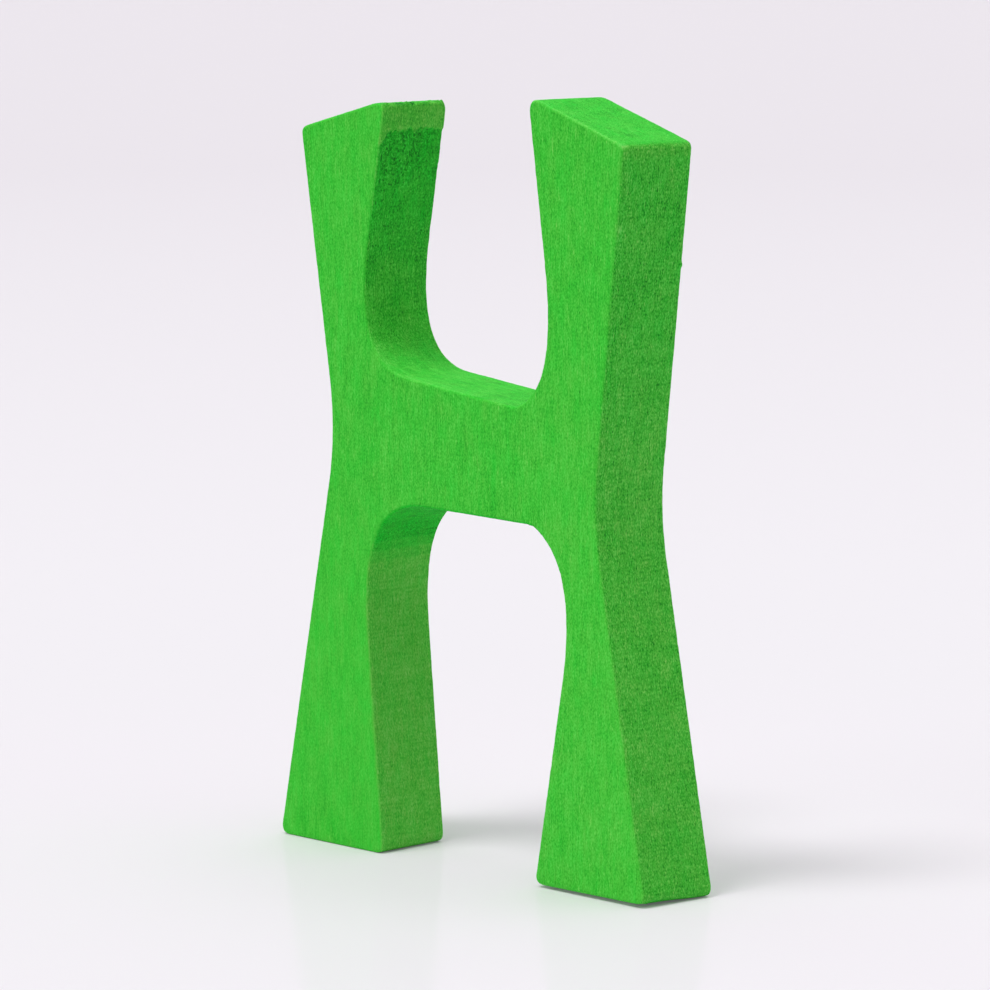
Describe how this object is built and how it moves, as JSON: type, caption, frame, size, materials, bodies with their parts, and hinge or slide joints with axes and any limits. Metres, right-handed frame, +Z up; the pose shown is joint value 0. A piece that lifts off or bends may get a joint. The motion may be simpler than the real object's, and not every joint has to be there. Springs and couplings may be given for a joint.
{
  "type": "wooden letter",
  "caption": "Free-standing capital letter H sawn from one board of green-stained wood, with flared stems, rounded inner corners and sanded edges.",
  "frame": {"origin": "on the floor, midway between the two feet and midway through the board", "axes": "+Z up along the stems, +X across the letter to the right as read from the front, +Y from the front face to the back face"},
  "size_m": [0.0557, 0.0094, 0.0801],
  "materials": {
    "green_stained_wood": "matt water stain on bare sanded wood, grain showing"
  },
  "bodies": {
    "root": {"letter_h": "green_stained_wood"}
  },
  "joints": []
}
